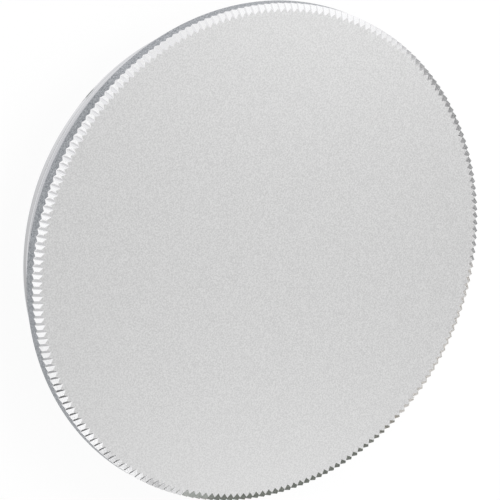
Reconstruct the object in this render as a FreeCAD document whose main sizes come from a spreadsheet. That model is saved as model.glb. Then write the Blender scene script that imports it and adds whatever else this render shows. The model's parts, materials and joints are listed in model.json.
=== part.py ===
import FreeCAD, Part
import os
import Sketcher

# Screw-in camera body cap, turned in one piece from aluminium bar: a thin disc with a V-notched grip
# around its front corner, and behind it a hollow spigot that screws into the camera's lens mount.
# The cap lies on the spigot's open end, front face up, with the origin at the centre of that end.
# Lengths are in millimetres, angles in degrees.
SIZES = {
    "thread_diameter": 42.0,
    "disc_overhang": 2.0,
    "disc_thickness": 1.8,
    "rim_edge_break": 0.15,
    "spigot_length": 4.8,
    "thread_depth": 0.613,
    "thread_lead_in": 0.35,
    "relief_width": 0.6,
    "relief_clearance": 0.1,
    "seat_undercut": 0.15,
    "seat_clearance": 0.2,
    "spigot_wall": 2.0,
    "mouth_edge_break": 0.3,
    "web_thickness": 1.5,
    "recess_corner_radius": 0.6,
    "notch_count": 212,
    "notch_face_run": 0.75,
    "notch_wall_run": 0.66,
    "notch_angle": 105.0,
}

# Radii and heights that the section's corners share, worked out from the sizes.
THREAD = "Sizes.thread_diameter / 2"
RIM = f"({THREAD} + Sizes.disc_overhang)"
RELIEF = f"({THREAD} - Sizes.thread_depth - Sizes.relief_clearance)"
SEAT_INNER = f"({THREAD} + Sizes.seat_clearance)"
RECESS = f"({THREAD} - Sizes.spigot_wall)"
SEAT = "Sizes.spigot_length"
UNDERCUT = f"({SEAT} + Sizes.seat_undercut)"
RUNOUT = f"({SEAT} - Sizes.relief_width)"
FRONT = f"({SEAT} + Sizes.disc_thickness)"
WEB = f"({FRONT} - Sizes.web_thickness)"

doc = FreeCAD.newDocument("body_cap")

sheet = doc.addObject("Spreadsheet::Sheet", "Sizes")
for row, (alias, size) in enumerate(SIZES.items(), start=1):
    sheet.set(f"A{row}", alias)
    sheet.set(f"B{row}", str(size))
    sheet.setAlias(f"B{row}", alias)
doc.recompute()


def origin_feature(body, role):
    """The body's own origin plane or axis with this role."""
    return next(item for item in body.Origin.OriginFeatures if item.Role == role)


def sketch_on(body, name, role):
    """A new sketch on one of the body's origin planes."""
    sketch = body.newObject("Sketcher::SketchObject", name)
    sketch.AttachmentSupport = [(origin_feature(body, role), "")]
    sketch.MapMode = "FlatFace"
    return sketch


def hold(sketch, side, corner):
    """Hold the start of a side at a corner given by two expressions."""
    across, up = corner
    for kind, axis, expression in (("DistanceX", -2, across), ("DistanceY", -1, up)):
        if expression == "0":
            sketch.addConstraint(Sketcher.Constraint("PointOnObject", side, 1, axis))
            continue
        length = float(sketch.evalExpression(expression))
        held = sketch.addConstraint(Sketcher.Constraint(kind, -1, 1, side, 1, length))
        sketch.setExpression(f"Constraints[{held}]", expression)


def draw_outline(sketch, corners):
    """Draw a closed outline of straight sides, each corner held by its expressions."""
    points = [FreeCAD.Vector(*(float(sketch.evalExpression(term)) for term in corner)) for corner in corners]
    for start, end in zip(points, points[1:] + points[:1]):
        sketch.addGeometry(Part.LineSegment(start, end))
    for side, corner in enumerate(corners):
        sketch.addConstraint(Sketcher.Constraint("Coincident", side, 2, (side + 1) % len(corners), 1))
        hold(sketch, side, corner)


def circular_edge(feature, radius, height):
    """The name of the feature's round edge of this radius at this height."""
    wanted = FreeCAD.Vector(float(feature.evalExpression(radius)), float(feature.evalExpression(height)))
    for number, edge in enumerate(feature.Shape.Edges, start=1):
        if edge.Curve.TypeId != "Part::GeomCircle":
            continue
        found = FreeCAD.Vector(edge.Curve.Radius, edge.Curve.Center.z)
        if found.isEqual(wanted, edge.Tolerance):
            return f"Edge{number}"
    raise RuntimeError(f"{feature.Label} has no round edge at {wanted}")


def check_cut(before, after):
    """Stop if a cutting feature took nothing away."""
    if after.Shape.Volume >= before.Shape.Volume:
        raise RuntimeError(f"{after.Label} cuts nothing")


body = doc.addObject("PartDesign::Body", "body_cap")
body.Label = "body_cap"

# The turned section: face, rim, seat, undercut thread relief, thread, open end, recess and web.
section = sketch_on(body, "TurnedSection", "XZ_Plane")
draw_outline(section, [
    ("0", FRONT),
    (RIM, FRONT),
    (RIM, f"{SEAT} + Sizes.rim_edge_break"),
    (f"{RIM} - Sizes.rim_edge_break", SEAT),
    (SEAT_INNER, SEAT),
    (SEAT_INNER, UNDERCUT),
    (RELIEF, UNDERCUT),
    (RELIEF, RUNOUT),
    (THREAD, f"{RUNOUT} - ({THREAD} - {RELIEF})"),
    (THREAD, "Sizes.thread_lead_in"),
    (f"{THREAD} - Sizes.thread_lead_in", "0"),
    (f"{RECESS} + Sizes.mouth_edge_break", "0"),
    (RECESS, "Sizes.mouth_edge_break"),
    (RECESS, WEB),
    ("0", WEB),
])
blank = body.newObject("PartDesign::Revolution", "TurnedBlank")
blank.Profile = section
blank.ReferenceAxis = (section, ["V_Axis"])
blank.Angle = 360.0
doc.recompute()

# The turning tool's nose leaves a radius where the recess wall meets the web.
corner = body.newObject("PartDesign::Fillet", "RecessCorner")
corner.Base = (blank, [circular_edge(blank, RECESS, WEB)])
corner.setExpression("Radius", "Sizes.recess_corner_radius")
doc.recompute()

# One V-notch across the front corner. Its sketch looks along the valley, which slopes from face to wall.
notch = sketch_on(body, "NotchSection", "XY_Plane")
lean = "atan(Sizes.notch_face_run / Sizes.notch_wall_run)"
turn = FreeCAD.Rotation(FreeCAD.Vector(0, -1, 0), notch.evalExpression(lean).Value)
notch.AttachmentOffset = FreeCAD.Placement(FreeCAD.Vector(), turn)
notch.setExpression("AttachmentOffset.Base.x", f"{RIM} - Sizes.notch_face_run")
notch.setExpression("AttachmentOffset.Base.z", FRONT)
notch.setExpression("AttachmentOffset.Rotation.Angle", lean)
doc.recompute()
opening = "Sizes.notch_face_run"
spread = f"{opening} * tan(Sizes.notch_angle * 1deg / 2)"
draw_outline(notch, [("0", "0"), (opening, f"-({spread})"), (opening, spread)])
cut = body.newObject("PartDesign::Pocket", "Notch")
cut.Profile = notch
cut.Type = "Length"
cut.setExpression("Length", "Sizes.notch_face_run + Sizes.notch_wall_run")
doc.recompute()
check_cut(corner, cut)

# The notch is repeated all the way round, so that neighbours meet in sharp ridges.
grip = body.newObject("PartDesign::PolarPattern", "NotchedRim")
grip.Originals = [cut]
grip.Axis = (origin_feature(body, "Z_Axis"), [""])
grip.Angle = 360.0
grip.setExpression("Occurrences", "Sizes.notch_count")
body.Tip = grip
doc.recompute()
check_cut(cut, grip)

for item in doc.Objects:
    if "Invalid" in item.State or "Error" in item.State:
        raise RuntimeError(f"{item.Label} failed: {item.State}")
if body.Shape.isNull() or not body.Shape.isValid() or len(body.Shape.Solids) != 1:
    raise RuntimeError("body_cap is not one valid solid")

os.makedirs("parts", exist_ok=True)
body.Shape.exportStep(f"parts/{body.Label}.step")
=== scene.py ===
import json
import math

import bmesh
import bpy
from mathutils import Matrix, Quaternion, Vector


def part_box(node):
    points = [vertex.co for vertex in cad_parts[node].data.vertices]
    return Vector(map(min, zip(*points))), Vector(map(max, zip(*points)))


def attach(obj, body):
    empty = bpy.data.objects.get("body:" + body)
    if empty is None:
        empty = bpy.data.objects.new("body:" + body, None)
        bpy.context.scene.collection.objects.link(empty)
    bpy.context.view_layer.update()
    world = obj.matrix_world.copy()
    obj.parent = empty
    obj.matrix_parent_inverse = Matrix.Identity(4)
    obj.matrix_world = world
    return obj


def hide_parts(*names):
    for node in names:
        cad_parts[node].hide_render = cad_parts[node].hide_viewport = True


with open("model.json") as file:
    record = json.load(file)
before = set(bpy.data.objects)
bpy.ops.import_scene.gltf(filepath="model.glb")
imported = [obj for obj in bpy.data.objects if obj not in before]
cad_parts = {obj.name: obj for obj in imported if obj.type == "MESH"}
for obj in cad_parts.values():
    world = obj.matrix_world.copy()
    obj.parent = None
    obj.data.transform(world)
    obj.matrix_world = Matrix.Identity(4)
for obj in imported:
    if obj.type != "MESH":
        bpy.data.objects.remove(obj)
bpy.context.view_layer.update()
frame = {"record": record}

# Notched rim.
# Fine V-notches cut across the front corner of the disc, side by side, so that neighbours meet in sharp
# ridges and fingers get a grip. They are cut after the surface finish, so their facets are bare and bright.
MM = 0.001
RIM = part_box("body_cap")[1].x
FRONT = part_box("body_cap")[1].z
NOTCH_COUNT = 212
NOTCH_FACE_RUN = 0.75 * MM
NOTCH_WALL_RUN = 0.66 * MM
NOTCH_ANGLE = math.radians(105.0)
HALF_PITCH = math.pi / NOTCH_COUNT


def linear(code):
    """A linear colour from an sRGB hex value."""
    parts = [int(code[start:start + 2], 16) / 255 for start in (1, 3, 5)]
    return tuple(((p + 0.055) / 1.055) ** 2.4 if p > 0.04045 else p / 12.92 for p in parts) + (1.0,)


def add_node(tree, kind, feeds=None, **settings):
    """Add a node, give it its settings, and feed its inputs with values or with other nodes' outputs."""
    node = tree.nodes.new(kind)
    for name, setting in settings.items():
        setattr(node, name, setting)
    for name, feed in (feeds or {}).items():
        if isinstance(feed, bpy.types.NodeSocket):
            tree.links.new(feed, node.inputs[name])
        else:
            node.inputs[name].default_value = feed
    return node


def new_material(name):
    """An empty material with its node tree."""
    material = bpy.data.materials.new(name)
    material.use_nodes = True
    material.node_tree.nodes.clear()
    return material, material.node_tree


def at(radius, angle, height):
    """A point given by its distance from the cap's axis, its angle about it and its height."""
    return Vector((radius * math.cos(angle), radius * math.sin(angle), height))


# Bright-cut aluminium: the cutter leaves clean metal that mirrors the room softly, with faint lines along
# the cut. The lines are drawn about five times as wide as real ones, or they would not show.
CUT_COLOUR = "#F3F3F4"
CUT_LINE = 0.05 * MM
CUT_DETAIL = 1.0
CUT_ROUGHNESS = (0.12, 0.2)
bright_cut, cut_tree = new_material("bright_cut_aluminium")
cut_place = add_node(cut_tree, "ShaderNodeTexCoord")
cut_lines = add_node(
    cut_tree,
    "ShaderNodeTexNoise",
    {"Vector": cut_place.outputs["Object"], "Scale": 1 / CUT_LINE, "Detail": CUT_DETAIL},
)
cut_rough = add_node(
    cut_tree,
    "ShaderNodeMapRange",
    {"Value": cut_lines.outputs["Fac"], "To Min": CUT_ROUGHNESS[0], "To Max": CUT_ROUGHNESS[1]},
)
cut_shader = add_node(
    cut_tree,
    "ShaderNodeBsdfPrincipled",
    {"Base Color": linear(CUT_COLOUR), "Metallic": 1.0, "Roughness": cut_rough.outputs["Result"]},
)
add_node(cut_tree, "ShaderNodeOutputMaterial", {"Surface": cut_shader.outputs["BSDF"]})

# One notch is two flat facets that share the valley. On the ridge, half a pitch to each side, the facets'
# height above the valley's line follows from the angle between them.
slope = math.hypot(NOTCH_FACE_RUN, NOTCH_WALL_RUN)
face_share = NOTCH_FACE_RUN / slope
wall_share = NOTCH_WALL_RUN / slope
opening = math.tan(NOTCH_ANGLE / 2)
VALLEY_START = RIM - NOTCH_FACE_RUN
VALLEY_END = FRONT - NOTCH_WALL_RUN
ridge_across = opening * wall_share * VALLEY_START / (opening * wall_share - math.tan(HALF_PITCH))
RIDGE_START = ridge_across / math.cos(HALF_PITCH)
rise = RIM * math.sin(HALF_PITCH) / opening - wall_share * (RIM * math.cos(HALF_PITCH) - VALLEY_START)
RIDGE_END = FRONT + rise / face_share

one_notch = bpy.data.meshes.new("one_notch")
one_notch.from_pydata(
    [
        at(VALLEY_START, 0, FRONT),
        at(RIM, 0, VALLEY_END),
        at(RIDGE_START, -HALF_PITCH, FRONT),
        at(RIM, -HALF_PITCH, RIDGE_END),
        at(RIDGE_START, HALF_PITCH, FRONT),
        at(RIM, HALF_PITCH, RIDGE_END),
    ],
    [],
    [(0, 2, 3, 1), (0, 1, 5, 4)],
)
notch_ring = bpy.data.objects.new("notch_ring", one_notch)
bpy.context.scene.collection.objects.link(notch_ring)

# The node tree turns copies of the notch about the cap's axis, one pitch apart.
ring_tree = bpy.data.node_groups.new("notches_round_the_rim", "GeometryNodeTree")
ring_tree.interface.new_socket("Notch", in_out="INPUT", socket_type="NodeSocketGeometry")
count_input = ring_tree.interface.new_socket("Count", in_out="INPUT", socket_type="NodeSocketInt")
finish_input = ring_tree.interface.new_socket("Finish", in_out="INPUT", socket_type="NodeSocketMaterial")
ring_tree.interface.new_socket("Rim", in_out="OUTPUT", socket_type="NodeSocketGeometry")
sizes = add_node(ring_tree, "NodeGroupInput")
single = add_node(ring_tree, "GeometryNodeGeometryToInstance", {"Geometry": sizes.outputs["Notch"]})
copies = add_node(
    ring_tree,
    "GeometryNodeDuplicateElements",
    {"Geometry": single.outputs["Instances"], "Amount": sizes.outputs["Count"]},
    domain="INSTANCE",
)
pitch = add_node(ring_tree, "ShaderNodeMath", {0: math.tau, 1: sizes.outputs["Count"]}, operation="DIVIDE")
angle_of_copy = add_node(
    ring_tree,
    "ShaderNodeMath",
    {0: copies.outputs["Duplicate Index"], 1: pitch.outputs["Value"]},
    operation="MULTIPLY",
)
rotation = add_node(ring_tree, "ShaderNodeCombineXYZ", {"Z": angle_of_copy.outputs["Value"]})
turned = add_node(
    ring_tree,
    "GeometryNodeRotateInstances",
    {"Instances": copies.outputs["Geometry"], "Rotation": rotation.outputs["Vector"], "Local Space": False},
)
real = add_node(ring_tree, "GeometryNodeRealizeInstances", {"Geometry": turned.outputs["Instances"]})
finished = add_node(
    ring_tree,
    "GeometryNodeSetMaterial",
    {"Geometry": real.outputs["Geometry"], "Material": sizes.outputs["Finish"]},
)
add_node(ring_tree, "NodeGroupOutput", {"Rim": finished.outputs["Geometry"]})
repeat = notch_ring.modifiers.new("repeat", "NODES")
repeat.node_group = ring_tree
repeat[count_input.identifier] = NOTCH_COUNT
repeat[finish_input.identifier] = bright_cut
notch_mesh = bpy.data.meshes.new_from_object(notch_ring.evaluated_get(bpy.context.evaluated_depsgraph_get()))
notch_ring.modifiers.remove(repeat)
bpy.data.objects.remove(notch_ring)

# Front face and rim wall.
# The front of the disc, with its edge cut by the notches, and the plain wall below them. Both are turned
# smooth, then bead-blasted and clear anodised.
MOUNTS = {mount["name"]: mount for mount in frame["record"]["mounts"]}
SEAT = MOUNTS["flange_seat"]["pos_m"][2]
FACE_RING_RUNS = 2.0
WALL_RING_RUNS = 1.2
FACE_RING = RIM - FACE_RING_RUNS * NOTCH_FACE_RUN
WALL_RING = FRONT - WALL_RING_RUNS * NOTCH_WALL_RUN
RIM_EDGE_BREAK = 0.15 * MM
COLUMNS = 2 * NOTCH_COUNT
FACE_FINISH, NOTCH_FINISH, WALL_FINISH, SPIGOT_FINISH = range(4)


def ring_points(valley, ridge):
    """One ring of points round the axis, which may lie differently in the valleys and on the ridges."""
    places = (valley, ridge)
    return [at(places[i % 2][0], i * HALF_PITCH, places[i % 2][1]) for i in range(COLUMNS)]


def plain_ring(radius, height):
    """A ring of points at one radius and height."""
    return ring_points((radius, height), (radius, height))


def skin(build, rows, finish):
    """Stretch faces between rings of points, or between a ring and a single point, in one finish."""
    made = [[build.verts.new(point) for point in row] for row in rows]
    for upper, lower in zip(made, made[1:]):
        for i in range(COLUMNS):
            places = ((upper, i), (lower, i), (lower, i + 1), (upper, i + 1))
            corners = [row[j % len(row)] for row, j in places]
            build.faces.new(dict.fromkeys(corners)).material_index = finish


cap = bmesh.new()
face_edge = ring_points((VALLEY_START, FRONT), (RIDGE_START, FRONT))
wall_edge = ring_points((RIM, VALLEY_END), (RIM, RIDGE_END))
skin(cap, [[Vector((0, 0, FRONT))], plain_ring(FACE_RING, FRONT), face_edge], FACE_FINISH)
skin(cap, [wall_edge, plain_ring(RIM, WALL_RING), plain_ring(RIM, SEAT + RIM_EDGE_BREAK)], WALL_FINISH)

# Bead-blasted, clear-anodised aluminium: an even, fine grain of shallow dimples that scatters the light, pale
# on the face. The wall is the same metal; its cooler, darker grey is painted shade and a painted reflection
# of the dim surroundings that the wall mirrors. The dimples are drawn at 0.13 mm so that they show.
BLAST_GRAIN = 0.13 * MM
BLAST_DETAIL = 1.0
BLAST_BREAKUP = 0.6
BLAST_RANGE = (0.34, 0.66)
BLAST_DEPTH = 0.006 * MM
BLAST_BUMP = 0.5
BLAST_ROUGHNESS = (0.48, 0.62)
FACE_COLOURS = ("#D1D1D1", "#E6E6E6")
# The wall's colours are the face's metal painted darker and cooler: painted shade, not a different finish.
WALL_PAINTED_SHADE_COLOURS = ("#8B8F95", "#CCCED2")


def blasted_finish(name, colours):
    """Blasted metal whose grain runs between two colours."""
    material, tree = new_material(name)
    place = add_node(tree, "ShaderNodeTexCoord")
    noise = add_node(
        tree,
        "ShaderNodeTexNoise",
        {
            "Vector": place.outputs["Object"],
            "Scale": 1 / BLAST_GRAIN,
            "Detail": BLAST_DETAIL,
            "Roughness": BLAST_BREAKUP,
        },
    )
    grain = add_node(
        tree,
        "ShaderNodeMapRange",
        {"Value": noise.outputs["Fac"], "From Min": BLAST_RANGE[0], "From Max": BLAST_RANGE[1]},
    )
    tone = add_node(
        tree,
        "ShaderNodeMix",
        {"Factor": grain.outputs["Result"], "A": linear(colours[0]), "B": linear(colours[1])},
        data_type="RGBA",
    )
    rough = add_node(
        tree,
        "ShaderNodeMapRange",
        {"Value": grain.outputs["Result"], "To Min": BLAST_ROUGHNESS[0], "To Max": BLAST_ROUGHNESS[1]},
    )
    bump = add_node(
        tree,
        "ShaderNodeBump",
        {"Height": grain.outputs["Result"], "Strength": BLAST_BUMP, "Distance": BLAST_DEPTH},
    )
    shader = add_node(
        tree,
        "ShaderNodeBsdfPrincipled",
        {
            "Base Color": tone.outputs["Result"],
            "Metallic": 1.0,
            "Roughness": rough.outputs["Result"],
            "Normal": bump.outputs["Normal"],
        },
    )
    add_node(tree, "ShaderNodeOutputMaterial", {"Surface": shader.outputs["BSDF"]})
    return material


blasted_face = blasted_finish("bead_blasted_anodised_aluminium_face", FACE_COLOURS)
# The wall's material carries painted shade in its darker colours.
blasted_wall_with_painted_shade = blasted_finish("bead_blasted_anodised_aluminium_wall_painted_shade", WALL_PAINTED_SHADE_COLOURS)

# Hollow spigot.
# The back of the disc with its flange seat and thread relief, and the short tube behind it, open at the end.
# Both are turned from the same bar as the disc; the recess inside has the tool nose's radius in its corner.
THREAD = MOUNTS["thread"]["dims"]["r_mm"] * MM
THREAD_DEPTH = 0.613 * MM
SEAT_CLEARANCE = 0.2 * MM
SEAT_UNDERCUT = 0.15 * MM
RELIEF_CLEARANCE = 0.1 * MM
RELIEF_WIDTH = 0.6 * MM
END_RING_INSET = 0.7 * MM
SPIGOT_WALL = 2.0 * MM
WEB_THICKNESS = 1.5 * MM
SEAT_INNER = THREAD + SEAT_CLEARANCE
UNDERCUT = SEAT + SEAT_UNDERCUT
RELIEF = THREAD - THREAD_DEPTH - RELIEF_CLEARANCE
RUNOUT = SEAT - RELIEF_WIDTH
END_RING = THREAD - END_RING_INSET
RECESS = THREAD - SPIGOT_WALL
WEB = FRONT - WEB_THICKNESS
MOUTH_EDGE_BREAK = 0.3 * MM
CORNER_RADIUS = 0.6 * MM
CORNER_STEPS = 6


def corner_arc(step):
    """A point on the nose radius between the recess wall and the web, as a radius and a height."""
    angle = step / CORNER_STEPS * math.pi / 2
    across = RECESS - CORNER_RADIUS * (1 - math.cos(angle))
    return across, WEB - CORNER_RADIUS * (1 - math.sin(angle))


back_of_disc = [
    (RIM, SEAT + RIM_EDGE_BREAK),
    (RIM - RIM_EDGE_BREAK, SEAT),
    (SEAT_INNER, SEAT),
    (SEAT_INNER, UNDERCUT),
    (RELIEF, UNDERCUT),
    (RELIEF, RUNOUT),
]
skin(cap, [plain_ring(*place) for place in back_of_disc], SPIGOT_FINISH)
hollow = [
    (END_RING, 0.0),
    (RECESS + MOUTH_EDGE_BREAK, 0.0),
    (RECESS, MOUTH_EDGE_BREAK),
    *(corner_arc(step) for step in range(CORNER_STEPS + 1)),
]
skin(cap, [plain_ring(*place) for place in hollow] + [[Vector((0, 0, WEB))]], SPIGOT_FINISH)

# Turned aluminium: bright metal with the rings that the tool's feed leaves, which follow the distance from
# the axis and the height. They are drawn at 0.2 mm so that they show.
FEED = 0.2 * MM
FEED_DETAIL = 2.0
FEED_DEPTH = 0.004 * MM
FEED_BUMP = 0.3
TURNED_COLOURS = ("#CFD0D3", "#EEEEF0")
TURNED_ROUGHNESS = (0.1, 0.18)
turned_metal, turned_tree = new_material("turned_aluminium")
turned_place = add_node(turned_tree, "ShaderNodeTexCoord")
turned_parts = add_node(turned_tree, "ShaderNodeSeparateXYZ", {"Vector": turned_place.outputs["Object"]})
turned_flat = add_node(
    turned_tree, "ShaderNodeCombineXYZ", {"X": turned_parts.outputs["X"], "Y": turned_parts.outputs["Y"]}
)
turned_radius = add_node(
    turned_tree, "ShaderNodeVectorMath", {"Vector": turned_flat.outputs["Vector"]}, operation="LENGTH"
)
turned_section = add_node(
    turned_tree, "ShaderNodeCombineXYZ", {"X": turned_radius.outputs["Value"], "Y": turned_parts.outputs["Z"]}
)
turned_rings = add_node(
    turned_tree,
    "ShaderNodeTexNoise",
    {"Vector": turned_section.outputs["Vector"], "Scale": 1 / FEED, "Detail": FEED_DETAIL},
    noise_dimensions="2D",
)
turned_tone = add_node(
    turned_tree,
    "ShaderNodeMix",
    {
        "Factor": turned_rings.outputs["Fac"],
        "A": linear(TURNED_COLOURS[0]),
        "B": linear(TURNED_COLOURS[1]),
    },
    data_type="RGBA",
)
turned_rough = add_node(
    turned_tree,
    "ShaderNodeMapRange",
    {"Value": turned_rings.outputs["Fac"], "To Min": TURNED_ROUGHNESS[0], "To Max": TURNED_ROUGHNESS[1]},
)
turned_bump = add_node(
    turned_tree,
    "ShaderNodeBump",
    {"Height": turned_rings.outputs["Fac"], "Strength": FEED_BUMP, "Distance": FEED_DEPTH},
)
turned_shader = add_node(
    turned_tree,
    "ShaderNodeBsdfPrincipled",
    {
        "Base Color": turned_tone.outputs["Result"],
        "Metallic": 1.0,
        "Roughness": turned_rough.outputs["Result"],
        "Normal": turned_bump.outputs["Normal"],
    },
)
add_node(turned_tree, "ShaderNodeOutputMaterial", {"Surface": turned_shader.outputs["BSDF"]})

# Screw thread.
# A right-hand thread of 1 mm pitch cut along the spigot, with a lead-in at the open end and a run-out into
# the relief. Rows of points follow the helix, so that crests and roots stay crisp all the way round.
THREAD_PITCH = 1.0 * MM
THREAD_FLANK = math.radians(30.0)
THREAD_LEAD_IN = 0.35 * MM
CREST_HEIGHT = 1.07 * MM
CREST_ANGLE = math.radians(270.0)
CREST_WIDTH = THREAD_PITCH / 8
FLANK_WIDTH = THREAD_DEPTH * math.tan(THREAD_FLANK)
FLANK_ROWS = 5
FIRST_TURN, LAST_TURN = -2, 5
WELD = 0.001 * MM
SHARP = math.radians(22.0)

flank_offsets = [CREST_WIDTH / 2 + FLANK_WIDTH * row / FLANK_ROWS for row in range(FLANK_ROWS + 1)]
turn_offsets = [-offset for offset in reversed(flank_offsets)] + flank_offsets


def thread_radius(height, crest):
    """The thread's radius at a height, on a column where the middle of one crest is at a known height."""
    from_crest = abs((height - crest + THREAD_PITCH / 2) % THREAD_PITCH - THREAD_PITCH / 2)
    drop = max(from_crest - CREST_WIDTH / 2, 0.0) / math.tan(THREAD_FLANK)
    lead_in = THREAD - THREAD_LEAD_IN + height
    run_out = RELIEF + RUNOUT - height
    return min(max(THREAD - drop, THREAD - THREAD_DEPTH), lead_in, run_out)


def thread_column(column):
    """The points of one column of the thread, from the open end up to the relief."""
    angle = column * HALF_PITCH
    crest = CREST_HEIGHT + THREAD_PITCH * (angle - CREST_ANGLE) / math.tau
    points = [at(END_RING, angle, 0.0)]
    for turn in range(FIRST_TURN, LAST_TURN + 1):
        for offset in turn_offsets:
            height = min(max(crest + turn * THREAD_PITCH + offset, 0.0), RUNOUT)
            points.append(at(thread_radius(height, crest), angle, height))
    return points


thread = [[cap.verts.new(point) for point in thread_column(column)] for column in range(COLUMNS + 1)]
for column, following in zip(thread, thread[1:]):
    for i in range(len(column) - 1):
        corners = (column[i], following[i], following[i + 1], column[i + 1])
        cap.faces.new(corners).material_index = SPIGOT_FINISH

# The notches join the turned surfaces, and the whole becomes one closed skin with crisp edges.
first_notch_face = len(cap.faces)
cap.from_mesh(notch_mesh)
cap.faces.ensure_lookup_table()
for face in cap.faces[first_notch_face:]:
    face.material_index = NOTCH_FINISH
bmesh.ops.remove_doubles(cap, verts=cap.verts, dist=WELD)
bmesh.ops.dissolve_degenerate(cap, edges=cap.edges, dist=WELD / 2)
bmesh.ops.recalc_face_normals(cap, faces=cap.faces)
for face in cap.faces:
    face.smooth = True
for edge in cap.edges:
    edge.smooth = edge.calc_face_angle(math.pi) < SHARP
cap_mesh = bpy.data.meshes.new("body_cap_finished")
cap.to_mesh(cap_mesh)
cap.free()
for material in (blasted_face, bright_cut, blasted_wall_with_painted_shade, turned_metal):
    cap_mesh.materials.append(material)
body_cap = bpy.data.objects.new("body_cap_finished", cap_mesh)
bpy.context.scene.collection.objects.link(body_cap)
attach(body_cap, "root")
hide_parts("body_cap")

# Floor.
# A plain sheet of white paper under the cap. To the camera and in reflections it is mostly plain white, so
# that the background reads as white and the cap's shadow on it is a light one. It lies a hair below the
# spigot's end, so that the two flat surfaces don't share one height.
FLOOR_SIDE = 6.0
FLOOR_GAP = 0.02 * MM
FLOOR_COLOUR = "#FBFBFB"
FLOOR_WHITE = 0.93
paper, paper_tree = new_material("white_paper")
ray = add_node(paper_tree, "ShaderNodeLightPath")
mirrored = add_node(
    paper_tree,
    "ShaderNodeMath",
    {0: ray.outputs["Is Glossy Ray"], 1: ray.outputs["Is Transmission Ray"]},
    operation="MAXIMUM",
)
seen = add_node(
    paper_tree,
    "ShaderNodeMath",
    {0: ray.outputs["Is Camera Ray"], 1: mirrored.outputs["Value"]},
    operation="MAXIMUM",
)
share = add_node(
    paper_tree, "ShaderNodeMath", {0: seen.outputs["Value"], 1: FLOOR_WHITE}, operation="MULTIPLY"
)
sheet = add_node(paper_tree, "ShaderNodeBsdfDiffuse", {"Color": linear(FLOOR_COLOUR)})
white = add_node(paper_tree, "ShaderNodeEmission", {"Color": linear("#FFFFFF"), "Strength": 1.0})
paper_shader = add_node(
    paper_tree,
    "ShaderNodeMixShader",
    {0: share.outputs["Value"], 1: sheet.outputs["BSDF"], 2: white.outputs["Emission"]},
)
add_node(paper_tree, "ShaderNodeOutputMaterial", {"Surface": paper_shader.outputs["Shader"]})
half_side = FLOOR_SIDE / 2
floor_mesh = bpy.data.meshes.new("floor")
floor_mesh.from_pydata(
    [(x * half_side, y * half_side, -FLOOR_GAP) for x, y in ((-1, -1), (1, -1), (1, 1), (-1, 1))],
    [],
    [(0, 1, 2, 3)],
)
floor_mesh.materials.append(paper)
floor = bpy.data.objects.new("floor", floor_mesh)
bpy.context.scene.collection.objects.link(floor)

# Boards.
# Curved strips of matt card that stand round the cap, as a photographer sets them: dark, grey and brownish
# ones for the dark lines in the notches and the shade on the wall, pale and white ones for the bright lines.
# Only reflections see them.
BOARD_STEPS = 24
DARK_CARD = "#646464"
WHITE_CARD = "#F4F4F4"
# Each board's start and end in degrees, distance from the axis, bottom, top and colour.
BOARDS = {
    "low_middle_board": (93, 101, 32.0 * MM, 0.0 * MM, 9.0 * MM, "#A0A39E"),
    "low_dark_board": (101, 170, 32.0 * MM, 2.1 * MM, 9.0 * MM, "#757872"),
    "low_brown_board": (101, 170, 32.0 * MM, 0.0 * MM, 2.1 * MM, "#A8A299"),
    "back_pale_board": (158, 203, 29.0 * MM, 0.0 * MM, 4.0 * MM, "#E0DCD6"),
    "low_grey_board": (-160, -82, 31.5 * MM, 0.0 * MM, 6.7 * MM, "#B8B8B8"),
    "low_front_board": (-22, 80, 29.0 * MM, 0.0 * MM, 3.7 * MM, "#B4B6B2"),
    "tall_dark_board": (53, 116, 60.0 * MM, 15.5 * MM, 45.0 * MM, DARK_CARD),
    "side_dark_board": (73, 116, 60.0 * MM, 11.9 * MM, 15.5 * MM, DARK_CARD),
    "white_board": (8, 53, 60.0 * MM, 4.0 * MM, 20.0 * MM, WHITE_CARD),
    "low_white_board": (53, 71, 60.0 * MM, 4.0 * MM, 14.5 * MM, WHITE_CARD),
    "side_pale_board": (71, 95, 60.0 * MM, 4.0 * MM, 11.9 * MM, "#D9D9D9"),
}


def azimuth(degrees):
    """The angle about the axis of a direction counted from the camera's side, positive to the right."""
    return math.radians(degrees - 90)


for name, (start, end, distance, bottom, top, colour) in BOARDS.items():
    turns = [azimuth(start + (end - start) * step / BOARD_STEPS) for step in range(BOARD_STEPS + 1)]
    board_mesh = bpy.data.meshes.new(name)
    board_mesh.from_pydata(
        [at(distance, turn, height) for turn in turns for height in (bottom, top)],
        [],
        [(2 * step, 2 * step + 2, 2 * step + 3, 2 * step + 1) for step in range(BOARD_STEPS)],
    )
    card, card_tree = new_material(name + "_card")
    card_shader = add_node(
        card_tree,
        "ShaderNodeBsdfPrincipled",
        {"Base Color": linear(colour), "Roughness": 1.0, "Specular IOR Level": 0.0},
    )
    add_node(card_tree, "ShaderNodeOutputMaterial", {"Surface": card_shader.outputs["BSDF"]})
    board_mesh.materials.append(card)
    strip = bpy.data.objects.new(name, board_mesh)
    bpy.context.scene.collection.objects.link(strip)
    strip.visible_camera = strip.visible_diffuse = strip.visible_shadow = False

# Light.
# Two small soft boxes close to the cap, high at its left and behind it on the right, and a large one further
# off that lights the floor alone, in a pale room that is brightest behind the camera and darker to the right.
# Each soft box's place, side, level and whether reflections see it. At a level of 1 it is as bright as white.
SOFT_BOXES = {
    "left_soft_box": (Vector((-48.5, 14.0, 64.0)) * MM, 60 * MM, 1.2, True),
    "right_soft_box": (Vector((48.5, 70.0, 64.0)) * MM, 60 * MM, 1.45, True),
    "floor_soft_box": (Vector((-279.0, 49.0, 290.0)) * MM, 340 * MM, 1.8, False),
}
ROOM_LEVEL = 0.66
ROOM_RIGHT = -0.26
ROOM_FRONT = 0.36

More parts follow.
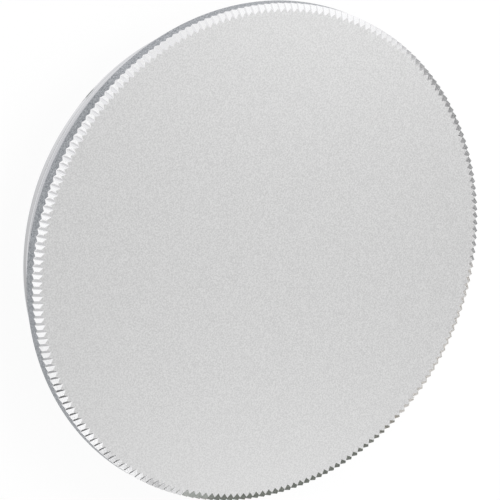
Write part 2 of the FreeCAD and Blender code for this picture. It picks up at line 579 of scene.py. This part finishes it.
for name, (place, side, level, reflected) in SOFT_BOXES.items():
    lamp = bpy.data.lights.new(name, "AREA")
    lamp.size = side
    lamp.energy = math.pi * side ** 2 * level
    soft_box = bpy.data.objects.new(name, lamp)
    bpy.context.scene.collection.objects.link(soft_box)
    soft_box.location = place
    soft_box.rotation_mode = "QUATERNION"
    soft_box.rotation_quaternion = (place - Vector((0, 0, FRONT))).to_track_quat("Z", "Y")
    soft_box.visible_camera = False
    soft_box.visible_glossy = reflected

world = bpy.data.worlds.new("pale_room")
bpy.context.scene.world = world
world.use_nodes = True
room_tree = world.node_tree
room_tree.nodes.clear()
looking = add_node(room_tree, "ShaderNodeTexCoord")
compass = add_node(room_tree, "ShaderNodeSeparateXYZ", {"Vector": looking.outputs["Generated"]})
sideways = add_node(
    room_tree,
    "ShaderNodeMath",
    {0: compass.outputs["X"], 1: ROOM_RIGHT, 2: ROOM_LEVEL},
    operation="MULTIPLY_ADD",
)
frontways = add_node(
    room_tree,
    "ShaderNodeMath",
    {0: compass.outputs["Y"], 1: -ROOM_FRONT},
    operation="MULTIPLY",
    use_clamp=True,
)
room_level = add_node(
    room_tree,
    "ShaderNodeMath",
    {0: sideways.outputs["Value"], 1: frontways.outputs["Value"]},
    operation="ADD",
)
room = add_node(
    room_tree, "ShaderNodeBackground", {"Color": linear("#FFFFFF"), "Strength": room_level.outputs["Value"]}
)
add_node(room_tree, "ShaderNodeOutputWorld", {"Surface": room.outputs["Background"]})

# Camera.
# A long lens, half a metre away, looking down on the cap that lies on its back, with the picture turned so
# that the near side of the rim is at the upper left.
LENS = 399.8
SENSOR = 36.0
CAMERA_DISTANCE = 498.2 * MM
CAMERA_AZIMUTH = azimuth(0.849)
CAMERA_ELEVATION = math.radians(56.694)
CAMERA_ROLL = math.radians(115.393)
CAMERA_AIM = Vector((0.072 * MM, -1.416 * MM, FRONT))
lens = bpy.data.cameras.new("camera")
lens.lens = LENS
lens.sensor_width = SENSOR
away = at(math.cos(CAMERA_ELEVATION), CAMERA_AZIMUTH, math.sin(CAMERA_ELEVATION))
camera = bpy.data.objects.new("camera", lens)
bpy.context.scene.collection.objects.link(camera)
camera.rotation_mode = "QUATERNION"
camera.location = CAMERA_AIM + away * CAMERA_DISTANCE
camera.rotation_quaternion = (-away).to_track_quat("-Z", "Y") @ Quaternion((0, 0, 1), CAMERA_ROLL)
bpy.context.scene.camera = camera
bpy.context.scene.view_settings.view_transform = "Standard"
